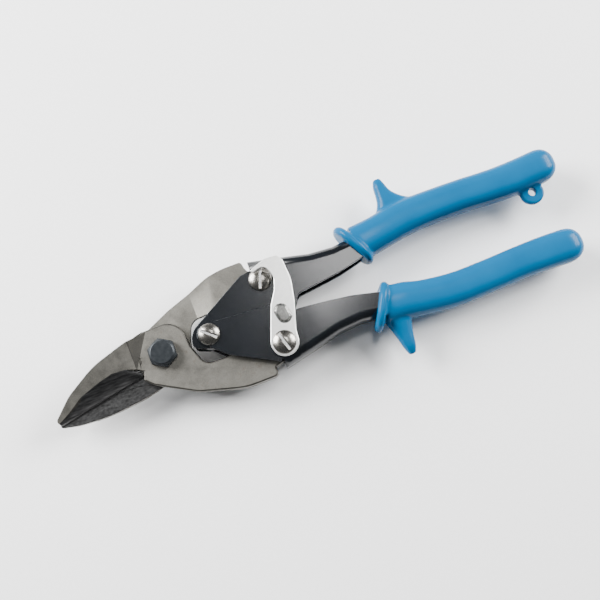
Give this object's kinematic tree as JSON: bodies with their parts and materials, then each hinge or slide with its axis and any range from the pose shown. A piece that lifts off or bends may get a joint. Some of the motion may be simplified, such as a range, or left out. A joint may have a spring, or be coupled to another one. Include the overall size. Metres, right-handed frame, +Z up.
{
  "type": "aviation snips",
  "caption": "Compound-leverage sheet metal snips with offset forged jaws, bolted pivot, black channel handles, swinging latch and dipped vinyl grips.",
  "frame": {"origin": "centre of the bounding box at its lowest face, which is the surface the tool lies on", "axes": "+X from the jaws to the grips, +Y towards the upper handle, +Z up out of the front side, along the pivots"},
  "size_m": [0.2518, 0.0826, 0.0245],
  "materials": {
    "blade_steel": "tumbled drop-forged tool steel",
    "bolt_black": "black oxide",
    "handle_steel": "black satin finish",
    "zinc_steel": "bright zinc plate",
    "nickel_steel": "nickel plate",
    "spring_steel": "oiled spring wire",
    "grip_vinyl": "glossy dipped vinyl"
  },
  "bodies": {
    "lower_handle": {"lower_handle": "handle_steel", "lower_grip": "grip_vinyl", "handle_pivot_screw": "nickel_steel", "handle_pivot_nut": "nickel_steel", "handle_pivot_sleeve": "zinc_steel", "front_blade_screw": "nickel_steel", "front_blade_nut": "nickel_steel", "tail_spacers": "zinc_steel", "latch_wave_washer": "spring_steel", "torsion_spring": "spring_steel"},
    "upper_handle": {"upper_handle": "handle_steel", "upper_grip": "grip_vinyl", "rear_blade_screw": "nickel_steel", "rear_blade_nut": "nickel_steel"},
    "front_blade": {"front_blade": "blade_steel", "pivot_bolt": "bolt_black", "pivot_nut": "bolt_black", "pivot_washer": "bolt_black"},
    "rear_blade": {"rear_blade": "blade_steel"},
    "latch": {"latch_lever": "zinc_steel"}
  },
  "joints": [
    {"name": "handle_pivot", "type": "hinge", "parent": "lower_handle", "child": "upper_handle", "pos_m": [-0.05037, 0, 0.0115], "axis": [0, 0, 1], "range_deg": [0, 36]},
    {"name": "front_blade_pivot", "type": "hinge", "parent": "lower_handle", "child": "front_blade", "pos_m": [-0.02077, -0.0153, 0.0115], "axis": [0, 0, 1], "range_deg": [0, 8.3]},
    {"name": "rear_blade_pivot", "type": "hinge", "parent": "upper_handle", "child": "rear_blade", "pos_m": [-0.02077, 0.0153, 0.0115], "axis": [0, 0, 1], "range_deg": [-8.3, 0]},
    {"name": "latch_pivot", "type": "hinge", "parent": "lower_handle", "child": "latch", "pos_m": [-0.02077, -0.0153, 0.02125], "axis": [0, 0, 1], "range_deg": [-80, 0]}
  ],
  "couplings": [
    {"joint": "front_blade_pivot", "follows": "handle_pivot", "ratio": 0.2292},
    {"joint": "rear_blade_pivot", "follows": "handle_pivot", "ratio": -0.2292}
  ]
}
